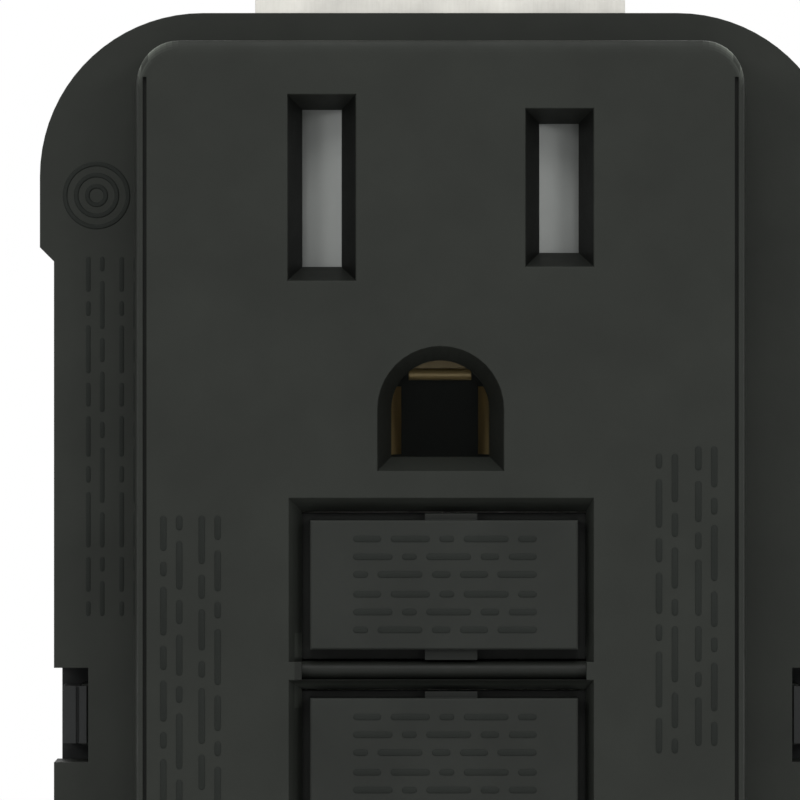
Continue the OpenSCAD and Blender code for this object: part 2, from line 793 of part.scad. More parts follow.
module strap_rivets() {
  color(BRASS) for (z = grounds, x = [-1, 1]) translate([x * rivet_x, 0, z]) {
    rod_y(rivet_r, y_strap - 0.3, ground_t + 0.3);
    rod_y(1.6, y_strap - 0.5, y_strap);
    rod_y(1.6, ground_t, ground_t + 0.5);
  }
}

module mounting_screw(end) {
  thread = retainer_t + pin_gap;
  color(STEEL) translate([0, 0, end * mount_pitch / 2]) {
    translate([0, y_strap, 0]) screw(mount_core_r, mount_screw_l, mount_head_r, 2);
    rod_y(mount_screw_r, thread, mount_screw_l + y_strap - 2);
  }
}

module mounting_screw_top() {
  mounting_screw(1);
}

module mounting_screw_bottom() {
  mounting_screw(-1);
}

module screw_retainers() {
  color([0.5, 0.42, 0.32]) both_ends() difference() {
    block([-4, 4], [0, retainer_t], [mount_pitch / 2 - 4, mount_pitch / 2 + 4]);
    translate([0, 0, mount_pitch / 2]) rod_y(mount_core_r + pin_gap, -1, retainer_t + 1);
  }
}

module ground_screw() {
  color(GREEN) translate([-tab_x - 0.6, tab_d - 4.1, -tab_z]) rotate([0, 0, -90])
    screw(term_screw_r, 6.5, ground_head_r, 2);
}

// ---- outlets ----

// Ground contact: a riveted base with three tines that grip the ground pin
module ground_contact(z) {
  grip = 2.1;
  mouth = grip + 0.6;
  reach = 8;
  nose = ground_t / 2;
  plate_low = ground_tine_z + ground_t + 0.05;
  tine_half = 1.7;
  color(BRASS) translate([0, 0, z]) {
    difference() {
      block([-7.3, 7.3], [0, ground_t], [-3.8, 3.3]);
      block([-mouth, mouth], [-1, 1], [-3.2, plate_low]);
      for (x = [-1, 1]) translate([x * rivet_x, 0, 0]) rod_y(rivet_r + pin_gap, -1, 1);
    }
    both_sides() prism(-2.5, 1.2)
      polygon([[mouth + ground_t, 0], [mouth, 0], [grip, reach / 2], [grip + 0.3, reach],
        [grip + 0.3 + ground_t, reach], [grip + ground_t, reach / 2]]);
    translate([0, nose, ground_tine_z + nose]) rod_x(nose, -tine_half, tine_half);
    block([-tine_half, tine_half], [nose, reach - 1.5], [ground_tine_z, ground_tine_z + ground_t]);
    block([-tine_half, tine_half], [nose, ground_t], [ground_tine_z + nose, plate_low + 0.05]);
  }
}

module upper_ground_contact() {
  ground_contact(grounds[0]);
}

module lower_ground_contact() {
  ground_contact(grounds[1]);
}

module shutter_frame(z) {
  outer = shutter_out + slide_gap + 1.2;
  rail = shutter_z + slide_gap + shutter_rail;
  color([0.75, 0.75, 0.73]) translate([0, 0, z]) difference() {
    union() {
      block([-outer, outer], [y_strap - shutter_base, y_strap], [-rail, rail]);
      for (end = [-1, 1]) {
        low = end < 0 ? -rail : rail - shutter_rail;
        block([-outer, outer], [y_shutter, y_strap], [low, low + shutter_rail]);
      }
      both_sides() block([outer - 1.2, outer], [y_shutter, y_strap], [-rail, rail]);
    }
    both_sides() block([blade_x - slot_w / 2 - 0.1, blade_x + slot_w / 2 + 0.1], [-9, 0],
      [-neutral_slot_h / 2 - 0.1, neutral_slot_h / 2 + 0.1]);
  }
}

module upper_shutter_frame() {
  shutter_frame(outlets[0]);
}

module lower_shutter_frame() {
  shutter_frame(outlets[1]);
}

// A sliding shutter with a ramp that turns the blade's push into a sideways one
module shutter(side, z) {
  y_spring = (y_shutter + y_shutter_rear) / 2;
  color(GREY) translate([0, 0, z]) on_side(side) {
    prism(-shutter_z, shutter_z)
      polygon([[shutter_in, y_shutter_rear], [shutter_in, y_shutter], [shutter_in + 0.5, y_shutter],
        [shutter_out, y_shutter + 1.5], [shutter_out, y_shutter_rear]]);
    translate([0, y_spring, 0]) rod_x(0.6, shutter_in - 0.8, shutter_in + 0.3);
  }
}

module upper_neutral_shutter() {
  shutter(-1, outlets[0]);
}

module upper_hot_shutter() {
  shutter(1, outlets[0]);
}

module lower_neutral_shutter() {
  shutter(-1, outlets[1]);
}

module lower_hot_shutter() {
  shutter(1, outlets[1]);
}

module shutter_spring(z) {
  y_spring = (y_shutter + y_shutter_rear) / 2;
  len = 2 * shutter_in - 0.04;
  color(STEEL) translate([-len / 2, y_spring, z]) rotate([0, 90, 0])
    coil_spring(shutter_spring_r - 0.15, fine_wire, len, 6);
}

module upper_shutter_spring() {
  shutter_spring(outlets[0]);
}

module lower_shutter_spring() {
  shutter_spring(outlets[1]);
}

// Two leaves that grip a blade, open at the front
module blade_clip() {
  pinch = 0.6;
  root = 1.1;
  both_sides() polygon([[root, y_strip + 0.01], [root + tine_t, y_strip + 0.01],
    [pinch + tine_t, 4.2], [root + tine_t, 2.2], [root, 2.2], [pinch, 4.2]]);
}

module outlet_contact(side) {
  low = outlets[1] - 4.2;
  high = outlets[0] + 4.2;
  color(side > 0 ? BRASS : STEEL) on_side(side) {
    difference() {
      block([blade_x - 1.65, blade_x + 1.8], [y_strip, y_strip_rear], [low, high]);
      translate([arm_x, 0, contact_z]) rod_y(0.7 + pin_gap, 0, 20);
    }
    for (z = outlets) translate([blade_x, 0, 0]) prism(z - 3, z + 3) blade_clip();
    block([riser_x - 0.3, riser_x + strip_t], [tab_y, y_strip_rear], [term_z - 2.6, term_z + 2.6]);
    block([riser_x, term_plate + term_t], [tab_y, tab_y + strip_t], [term_z - 2.6, term_z + 2.6]);
    terminal_plate(term_z, tab_y, term_y + clamp_half + 0.2);
  }
}

module hot_outlet_contact() {
  outlet_contact(1);
}

module neutral_outlet_contact() {
  outlet_contact(-1);
}

// ---- terminals ----

module terminal_plate(z, y0, y1) {
  difference() {
    block([term_plate, term_plate + term_t], [y0, y1], [z - term_half, z + term_half]);
    translate([0, term_y, z]) rod_x(term_screw_r + 0.15, term_plate - 1, term_plate + term_t + 1);
  }
}

module line_terminal(side) {
  color(side > 0 ? BRASS : STEEL) on_side(side) {
    terminal_plate(-term_z, term_y - clamp_half - 0.2, term_y + clamp_half + 0.2);
    block([term_plate, term_plate + term_t], [term_y + clamp_half, y_board], [-term_z - 1.3, -term_z + 1.3]);
    block([board_x - 2, term_plate + term_t], [y_board - 0.8, y_board], [-term_z - 1.3, -term_z + 1.3]);
  }
}

module line_hot_terminal() {
  line_terminal(1);
}

module line_neutral_terminal() {
  line_terminal(-1);
}

module terminal_screw(side, z) {
  gap = 0.1;
  color(side > 0 ? BRASS : STEEL) on_side(side)
    translate([term_plate + term_t + gap, term_y, z]) rotate([0, 0, 90])
      screw(term_screw_r, term_plate + term_t + gap - clamp_rear + clamp_t + 0.8, term_head_r, 2.2);
}

module line_hot_screw() {
  terminal_screw(1, -term_z);
}

module line_neutral_screw() {
  terminal_screw(-1, -term_z);
}

module load_hot_screw() {
  terminal_screw(1, term_z);
}

module load_neutral_screw() {
  terminal_screw(-1, term_z);
}

// The threaded plate that draws the wires against the terminal plate
module clamp(side, z) {
  color(STEEL) on_side(side) difference() {
    block([clamp_rear - clamp_t, clamp_rear], [term_y - clamp_half, term_y + clamp_half],
      [z - term_half + 0.9, z + term_half - 0.9]);
    translate([0, term_y, z]) rod_x(term_screw_r + pin_gap, clamp_rear - clamp_t - 1, clamp_rear + 1);
    for (edge = [-1, 1])
      translate([clamp_rear, 0, z + edge * wire_z]) block([-0.25, 1], [0, 30], [-0.6, 0.6]);
  }
}

module line_hot_clamp() {
  clamp(1, -term_z);
}

module line_neutral_clamp() {
  clamp(-1, -term_z);
}

module load_hot_clamp() {
  clamp(1, term_z);
}

module load_neutral_clamp() {
  clamp(-1, term_z);
}

// ---- buttons ----

// A cap with a rim at its rear that covers the gap, and a guide rib above and below
module button_cap(low_gap) {
  low = -cap_half - button_gap - low_gap + slide_gap;
  high = cap_half + button_gap - slide_gap;
  translate([button_x, 0, 0]) difference() {
    union() {
      hull() {
        slab(y_face, y_face + 0.01)
          square([button_w - 2 * cap_bevel, button_h - 2 * cap_bevel], center = true);
        slab(y_face + cap_bevel, y_cap_rear) square([button_w, button_h], center = true);
      }
      block([-button_w / 2 - cap_ear, button_w / 2 + cap_ear],
        [y_face_in + seat_gap, y_cap_rear], [low, high]);
      block([cap_rib_x - cap_rib_w / 2, cap_rib_x + cap_rib_w / 2],
        [y_face + cap_rib_drop, y_cap_rear], [low, high]);
    }
    slab(y_cap_in, y_cap_rear + 1)
      square([button_w - 2 * cap_wall, button_h - 2 * cap_wall], center = true);
  }
}

module reset_button() {
  color(BLACK) translate([0, 0, reset_z]) difference() {
    union() {
      button_cap(reset_low_gap);
      rod_y(pin_r + 0.5, y_cap_in - 0.5, y_cap_rear);
    }
    rod_y(pin_r + pin_gap / 2, y_cap_in - 0.3, y_cap_rear + 1);
  }
}

module reset_pin() {
  neck_y = shoulder_y - contact_gap - latch_t - 1;
  color(STEEL) translate([0, 0, reset_z]) {
    rod_y(pin_r, y_cap_in - 0.3, neck_y);
    rod_y(neck_r, neck_y - 1, shoulder_y + 0.5);
    rod_y(pin_r, shoulder_y, shoulder_y + pin_tip - 0.5);
    translate([0, shoulder_y + pin_tip - 0.5, 0]) rotate([-90, 0, 0])
      cylinder(h = 0.5, r1 = pin_r, r2 = pin_r - 0.5);
  }
}

module reset_spring() {
  color(STEEL) translate([0, y_cap_in, reset_z]) rotate([-90, 0, 0])
    coil_spring(spring_r, spring_wire, y_tower - y_cap_in, 5);
}

module test_button() {
  color(BLACK) translate([0, 0, test_z]) {
    button_cap(0);
    rod_y(1.5, y_cap_in - 0.5, y_blade - pin_gap);
  }
}

module test_blade() {
  color(BRASS) difference() {
    block([-tray_x + tray_wall + 0.1, test_post_x + 1.4], [y_blade, y_blade + blade_t],
      [test_z - 1.4, test_z + 1.4]);
    translate([-tray_x + 2.4, 0, test_z]) rod_y(0.5 + pin_gap, 0, 2);
  }
}

module test_post() {
  color(BRASS) translate([test_post_x, 0, test_z])
    rod_y(0.5, y_blade + blade_t + test_travel - 0.1, y_board);
}

// ---- trip mechanism ----

module arm(side) {
  x0 = arm_x - arm_half;
  x1 = arm_x + arm_half;
  z0 = -toroid_z - 1.2;
  z1 = -toroid_z + 1.2;
  tip = contact_z + 4.2;
  color(COPPER) on_side(side) {
    difference() {
      slab(y_arm, y_arm_rear) polygon([[0.5, z0], [x0 + 0.4, z0], [x1, z0 + 3], [x1, tip], [x0, tip],
        [x0, z1 + 1.6], [x0 - 1.2, z1], [0.5, z1]]);
      translate([arm_x, 0, contact_z]) rod_y(0.7 + pin_gap, 0, 20);
    }
    block([0.5, 1.1], [y_arm, y_board], [z0, z1]);
  }
}

module line_hot_arm() {
  arm(1);
}

module line_neutral_arm() {
  arm(-1);
}

module moving_contacts() {
  color(STEEL) both_sides() translate([arm_x, 0, contact_z]) {
    rod_y(contact_r, y_arm - 0.9, y_arm);
    rod_y(0.7, y_arm - 0.2, y_arm_rear + 0.2);
    rod_y(1.1, y_arm_rear, y_arm_rear + 0.4);
  }
}

module fixed_contacts() {
  color(STEEL) both_sides() translate([arm_x, 0, contact_z]) {
    rod_y(contact_r, y_strip_rear, y_fixed);
    rod_y(0.7, y_strip - 0.2, y_strip_rear + 0.2);
    rod_y(1.1, y_strip - 0.4, y_strip);
  }
}

module lifter() {
  wing_low = contact_z + contact_r + 0.2;
  color([0.85, 0.84, 0.78]) difference() {
    union() {
      block([-lifter_x, lifter_x], [y_lifter, y_lifter_rear], [lifter_low, lifter_top]);
      translate([0, 0, reset_z]) rod_y(collar_r, y_lifter - 2.5, y_lifter + 0.5);
      both_sides() block([wing_x, arm_x + arm_half], [y_arm_rear + pin_gap, y_arm_rear + 1.3],
        [wing_low, wing_low + 3.6]);
    }
    translate([0, 0, reset_z]) rod_y(pin_r + 0.2, y_lifter - 4, y_lifter_rear + 1);
    block([-latch_x - slide_gap, latch_x + slide_gap],
      [y_latch - slide_gap / 2, y_latch_rear + slide_gap / 2], [latch_low - 2, lifter_top + 1]);
    block([-1, 1], [y_latch - 0.7, y_latch_rear + 0.7], [latch_low - 2, latch_low]);
    block([-1.6, 1.6], [y_latch - 1.5, y_latch + 0.1], [lifter_top - 0.7, lifter_top + 1]);
  }
}

module latch_plate() {
  color(STEEL) {
    slab(y_latch, y_latch_rear) difference() {
      translate([-latch_x, latch_low]) square([2 * latch_x, latch_top - latch_low]);
      translate([0, reset_z]) circle(keyhole_r);
      translate([-keyslot, reset_z - latch_travel - keyslot]) square([2 * keyslot, latch_travel + keyslot]);
    }
    block([-1.4, 1.4], [y_latch - 1.3, y_latch_rear], [latch_top - 0.6, latch_top]);
  }
}

module latch_spring() {
  color(STEEL) translate([0, y_latch + latch_t / 2, latch_low - 2]) coil_spring(0.6, fine_wire, 2, 4);
}

module solenoid_bobbin() {
  color([0.85, 0.84, 0.78]) translate([0, y_coil, 0]) difference() {
    union() {
      rod_z(coil_r, coil_low, coil_low + 1);
      rod_z(coil_r, coil_low + coil_l - 1, coil_low + coil_l);
      rod_z(plunger_r + 0.7, coil_low, coil_low + coil_l);
    }
    rod_z(plunger_r + slide_gap, coil_low - 1, coil_low + coil_l + 1);
  }
}

module solenoid_coil() {
  color(COPPER) translate([0, y_coil, 0]) difference() {
    rod_z(coil_r - 0.3, coil_low + 1, coil_low + coil_l - 1);
    rod_z(plunger_r + 0.7, coil_low, coil_low + coil_l);
  }
}

module solenoid_frame() {
  y0 = y_coil - coil_r;
  color(STEEL) difference() {
    union() {
      for (z = [coil_low - frame_t, coil_low + coil_l])
        block([-frame_x, frame_x], [y0, y_board], [z, z + frame_t]);
      block([-frame_x, frame_x], [y_board - frame_t, y_board],
        [coil_low - frame_t, coil_low + coil_l + frame_t]);
    }
    translate([0, y_coil, 0]) rod_z(plunger_r + slide_gap, coil_low - 2, coil_low + coil_l + 2);
  }
}

module plunger() {
  color(STEEL) translate([0, y_coil, 0]) {
    rod_z(plunger_r, plunger_tip, plunger_head + 0.4);
    rod_z(plunger_r + 0.9, plunger_head, plunger_head + 0.8);
  }
}

module plunger_spring() {
  start = coil_low + coil_l + frame_t;
  color(STEEL) translate([0, y_coil, start]) coil_spring(plunger_r + 0.5, fine_wire, plunger_head - start, 4);
}

// ---- sensing coils and circuit board ----

module toroid_at(y) {
  color([0.3, 0.32, 0.4]) translate([0, y, -toroid_z]) rotate([-90, 0, 0]) rotate_extrude()
    translate([toroid_hole_r + toroid_wall + seat_gap, 0])
      square([toroid_case_r - toroid_hole_r - 2 * (toroid_wall + seat_gap), toroid_t]);
}

module sense_toroid() {
  toroid_at(toroid_front + toroid_wall);
}

module neutral_toroid() {
  toroid_at(toroid_front + toroid_wall + toroid_t + toroid_gap);
}

module toroid_case() {
  color([0.85, 0.84, 0.78]) translate([0, 0, -toroid_z]) difference() {
    rod_y(toroid_case_r, toroid_front, y_board);
    rod_y(toroid_hole_r, toroid_front - 1, y_board + 1);
    difference() {
      rod_y(toroid_case_r - toroid_wall, toroid_front + toroid_wall, y_board + 1);
      rod_y(toroid_hole_r + toroid_wall, toroid_front, y_board + 2);
    }
  }
}

module circuit_board() {
  color([0.1, 0.36, 0.2]) difference() {
    slab(y_board, y_board_rear) difference() {
      union() {
        square([2 * board_x, 2 * board_in_z], center = true);
        square([2 * board_in_x, 2 * board_z], center = true);
      }
      for (x = [-1, 1], z = [-1, 1]) translate([x * stake_x, z * stake_z]) circle(0.8 + seat_gap);
    }
    both_sides() both_ends() block([board_x - 0.6, board_x + 1], [0, 40], [ledge_z - 1.2, ledge_z + 1.2]);
  }
}

module leads(x, z, count, pitch, y0) {
  first = z - (count - 1) / 2 * pitch;
  for (i = [0:count - 1]) translate([x, 0, first + i * pitch]) rod_y(0.3, y0, y_board, $fn = 24);
}

module varistor() {
  r = (y_board - tray_d) / 2 - 0.9;
  color([0.15, 0.3, 0.6]) {
    translate([disc_x, y_board - r - 0.8, -27.2]) rod_z(r, 0, 2.4);
    for (x = [-1.4, 1.4]) leads(disc_x + x, -26, 1, 1, y_board - r);
  }
}

module capacitors() {
  top = y_board - 5.5;
  color([0.75, 0.55, 0.15]) {
    block([-can_x - 2.4, -can_x + 2], [top, y_board - 0.5], [-28, -24.5]);
    leads(-can_x - 0.2, -26.2, 2, 2, y_board - 1);
    translate([-can_x, 0, 22.4]) {
      rod_y(2.5, top, y_board - 0.3);
      leads(0, 0, 2, 1.6, y_board - 1);
    }
  }
}

module control_chip() {
  pitch = 1.27;
  color(DARK) translate([-chip_x, 0, 4]) {
    block([-2, 2], [y_board - 1.8, y_board - 0.3], [-2.6, 2.6]);
    both_sides() for (i = [0:3])
      block([1.8, 2.6], [y_board - 1.1, y_board], [(i - 1.5) * pitch - 0.2, (i - 1.5) * pitch + 0.2]);
  }
}

module scr() {
  color(DARK) {
    translate([chip_x, 0, 9]) difference() {
      rod_y(2.3, y_board - 5.5, y_board - 1);
      block([1.2, 3], [0, 30], [-3, 3]);
    }
    leads(chip_x, 9, 3, 1.27, y_board - 2);
  }
}

// An axial part lying on the board with its two leads bent down to it
module axial(x, z, r, len) {
  y = y_board - r - 0.1;
  translate([x, y, z]) rod_x(r, -len / 2, len / 2);
  for (side = [-1, 1]) on_side(side) translate([side * x, 0, z]) {
    block([len / 2 - 0.3, len / 2 + 0.6], [y - 0.2, y + 0.2], [-0.2, 0.2]);
    block([len / 2 + 0.2, len / 2 + 0.6], [y - 0.2, y_board], [-0.2, 0.2]);
  }
}

module diodes() {
  color(DARK) for (z = row_z) axial(diode_x, z, 0.9, 2.8);
}

module resistors() {
  color([0.8, 0.7, 0.5]) for (i = [0:2]) axial(-chip_x, row_z[i], 0.9, 3.2);
}

front_cover();
rear_housing();
separator();
mounting_strap();
strap_rivets();
upper_ground_contact();
lower_ground_contact();
reset_button();
reset_pin();
reset_spring();
test_button();
test_blade();
test_post();
assembly_screws();
mounting_screw_top();
mounting_screw_bottom();
screw_retainers();
upper_shutter_frame();
lower_shutter_frame();
upper_neutral_shutter();
upper_hot_shutter();
lower_neutral_shutter();
lower_hot_shutter();
upper_shutter_spring();
lower_shutter_spring();
hot_outlet_contact();
neutral_outlet_contact();
line_hot_terminal();
line_neutral_terminal();
line_hot_screw();
line_neutral_screw();
load_hot_screw();
load_neutral_screw();
line_hot_clamp();
line_neutral_clamp();
load_hot_clamp();
load_neutral_clamp();
ground_screw();
line_hot_arm();
line_neutral_arm();
moving_contacts();
fixed_contacts();
lifter();
latch_plate();
latch_spring();
solenoid_bobbin();
solenoid_coil();
solenoid_frame();
plunger();
plunger_spring();
sense_toroid();
neutral_toroid();
toroid_case();
circuit_board();
varistor();
capacitors();
control_chip();
scr();
diodes();
resistors();
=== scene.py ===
"""Looks of a duplex receptacle with ground-fault protection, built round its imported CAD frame.

Metres throughout, in the frame of the CAD part: X to the right seen from the front,
Y into the wall box, Z up. Sizes written in millimetres are multiplied by MM.
"""
import json
import math

import bmesh
import bpy
from mathutils import Matrix, Vector


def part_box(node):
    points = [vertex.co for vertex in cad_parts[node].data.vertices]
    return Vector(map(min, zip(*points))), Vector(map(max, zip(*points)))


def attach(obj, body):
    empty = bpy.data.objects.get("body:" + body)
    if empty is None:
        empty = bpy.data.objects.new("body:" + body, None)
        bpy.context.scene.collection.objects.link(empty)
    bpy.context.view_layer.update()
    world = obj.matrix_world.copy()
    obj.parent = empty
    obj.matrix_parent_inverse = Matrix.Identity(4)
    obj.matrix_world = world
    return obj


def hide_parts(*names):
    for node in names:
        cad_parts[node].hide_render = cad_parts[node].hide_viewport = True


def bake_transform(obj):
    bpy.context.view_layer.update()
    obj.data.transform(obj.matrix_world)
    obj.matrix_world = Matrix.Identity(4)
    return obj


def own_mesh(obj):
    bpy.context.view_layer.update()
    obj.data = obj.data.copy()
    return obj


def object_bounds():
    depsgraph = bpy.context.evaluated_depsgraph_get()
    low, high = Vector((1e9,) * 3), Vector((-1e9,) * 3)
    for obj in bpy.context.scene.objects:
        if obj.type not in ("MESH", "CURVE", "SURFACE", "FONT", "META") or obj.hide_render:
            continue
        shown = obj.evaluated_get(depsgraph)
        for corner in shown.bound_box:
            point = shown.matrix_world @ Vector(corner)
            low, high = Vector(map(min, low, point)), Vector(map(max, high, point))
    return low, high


MM = 0.001
TURN = 2 * math.pi

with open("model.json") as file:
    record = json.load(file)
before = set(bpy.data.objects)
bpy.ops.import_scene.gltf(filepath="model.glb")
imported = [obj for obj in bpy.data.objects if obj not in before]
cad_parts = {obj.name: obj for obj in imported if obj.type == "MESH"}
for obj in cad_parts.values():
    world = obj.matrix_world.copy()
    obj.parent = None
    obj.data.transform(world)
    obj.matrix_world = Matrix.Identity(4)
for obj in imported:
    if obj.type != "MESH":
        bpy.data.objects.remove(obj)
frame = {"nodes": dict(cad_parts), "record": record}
cad_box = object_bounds()
NODES = frame["nodes"]


# ---- places and sizes ----

# The front of the cover and the flange round it, and the middles of the buttons
FACE_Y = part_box("front_cover")[0].y
FLANGE_Y = -2.0 * MM
CAP_X = 0.18 * MM
RESET_Z = 4.595 * MM
TEST_Z = -4.905 * MM

# Meshes: vertices nearer than this are one, and edges sharper than this stay sharp
WELD = 1e-6
SHARP_ANGLE = math.radians(35)

# Coils: corners of a wire, steps in a turn, and how far the end turns close up (0 to 1)
WIRE_SIDES = 8
COIL_STEPS = 24
END_PINCH = 0.55

# Threads: steps in a turn, how far the thread's foot is sunk into the shank, and how far
# beyond the thread's start the CAD shank is thinned to the root
PITCH = 0.794 * MM
THREAD_STEPS = 28
THREAD_SINK = 0.03 * MM
THREAD_CLEAR = 0.05 * MM
# Half the width of a thread with its root, at its flanks' feet and at its crest, in pitches
THREAD_HALF, THREAD_FLANK, THREAD_CREST = 0.5, 0.42, 0.07

# Screws: outer and root radius of the thread, and its span along the shank from the seat
MOUNTING_THREAD = {"crest": 1.75 * MM, "root": 1.32 * MM, "start": 0.5 * MM, "end": 19.0 * MM}
TERMINAL_THREAD = {"crest": 2.05 * MM, "root": 1.6 * MM, "start": 1.2 * MM, "end": 4.6 * MM}
GROUND_THREAD = {"crest": 2.05 * MM, "root": 1.6 * MM, "start": 2.0 * MM, "end": 5.4 * MM}
MOUNTING_SEATS = {"top": 41.67 * MM, "bottom": -41.67 * MM}
TERMINAL_SEATS = {"line": -15.5 * MM, "load": 15.5 * MM}
TERMINAL_X = 18.3 * MM
TERMINAL_Y = 12 * MM
GROUND_SEAT = (-12.8 * MM, 5.4 * MM, -40.2 * MM)

# Leaves: parts that a leaf is cut into, and what is left uncut at its root and tip
LEAF_PARTS = 15
ARM_ROOT = 3 * MM
ARM_TIP = 5 * MM
BLADE_ROOT = 2 * MM

# Raised marks: how far their foot is sunk, the steps of a round end and of a ring,
# and how each kind of row runs
MARK_SINK = 0.02 * MM
PILL_STEPS = 5
RING_STEPS = 48
DOWNWARDS = {"along": (0, 0, -1), "across": (1, 0, 0), "angle": math.pi / 2}
SIDEWAYS = {"along": (1, 0, 0), "across": (0, 0, -1), "angle": 0.0}
FACE_MARKS = {"count": 2, "pitch": 0.85 * MM, "gap": 0.55 * MM, "width": 0.34 * MM,
              "height": 0.05 * MM, **DOWNWARDS}
FLANGE_MARKS = {"count": 2, "pitch": 0.75 * MM, "gap": 0.5 * MM, "width": 0.26 * MM,
                "height": 0.03 * MM, **DOWNWARDS}
CAP_MARKS = {"count": 3, "pitch": 0.95 * MM, "gap": 0.5 * MM, "width": 0.34 * MM,
             "height": 0.045 * MM, **SIDEWAYS}
COLUMN = [v * MM for v in (1.9, 0.8, 2.6, 1.3, 2.2, 0.9, 3.0)]
ROW = [v * MM for v in (1.5, 2.1, 0.8, 2.4, 1.0)]
# Each group on the face: left, top, and the dash that it starts with
FACE_GROUPS = ((-14.8, 8.3, 0), (-12.75, 8.3, 2), (11.65, 11.6, 1), (13.75, 12.0, 3))
FLANGE_LEFTS = (-19.0, -17.2)
FLANGE_TOP = 22.2 * MM
BADGE = (-18.55 * MM, FLANGE_Y, 25.5 * MM)
BADGE_RADII = (1.7, 1.1, 0.5)
BADGE_RING = 0.3 * MM
BADGE_HEIGHT = 0.05 * MM
# On a cap: how far left of its middle the rows start, and the tops of its two groups
CAP_LEFT = 4.85 * MM
CAP_TOPS = (2.45, -0.5)

# Camera: the width that it sees of the face, the place it looks at, and its sensor in mm
CAMERA_DISTANCE = 450 * MM
WIDTH_SEEN = 42.69 * MM
VIEW_X = -2.17 * MM
VIEW_Z = 14.46 * MM
SENSOR = 36

# Stage: the floor lies just below the part
FLOOR_RADIUS = 0.5
FLOOR_Y = 0.01
FLOOR_GAP = 0.0002
FLOOR_LOW = (0.78, 0.78, 0.77, 1)
FLOOR_HIGH = (0.82, 0.82, 0.81, 1)
WORLD_LIGHT = (0.5, 0.505, 0.51, 1)
WHITE = (1, 1, 1, 1)
# Each lamp: place, size and power
LAMPS = {
    "left": ((-0.55, -0.8, 0.35), 0.25, 1.6),
    "right": ((0.55, -0.8, 0.35), 0.25, 1.6),
    "top": ((0.0, -0.6, 0.75), 0.4, 3.5),
    "rim": ((0.2, 0.7, 0.6), 0.5, 2.0),
}


# ---- materials ----

# Where nearly all values of a noise lie
NOISE_LOW, NOISE_HIGH = 0.25, 0.75
BEVEL_SAMPLES = 6

# Scales of the patterns, in waves to the metre
PLASTIC_DRIFT = 220.0
PLASTIC_SHEEN = 900.0
METAL_MOTTLE = 350.0
METAL_STREAKS = 900.0
SPECKLES = 1500.0
BOARD_TRACKS = 120.0
BOARD_SHEEN = 700.0
WIRE_SHEEN = 500.0
FLOOR_DRIFT = 12.0
# Streaks run along Z: they are this much finer across it
STREAK_SCALE = (12.0, 12.0, 1.0)
# Distance between the bands of a wave texture of scale 1, in metres
WAVE_BAND = math.pi / 10


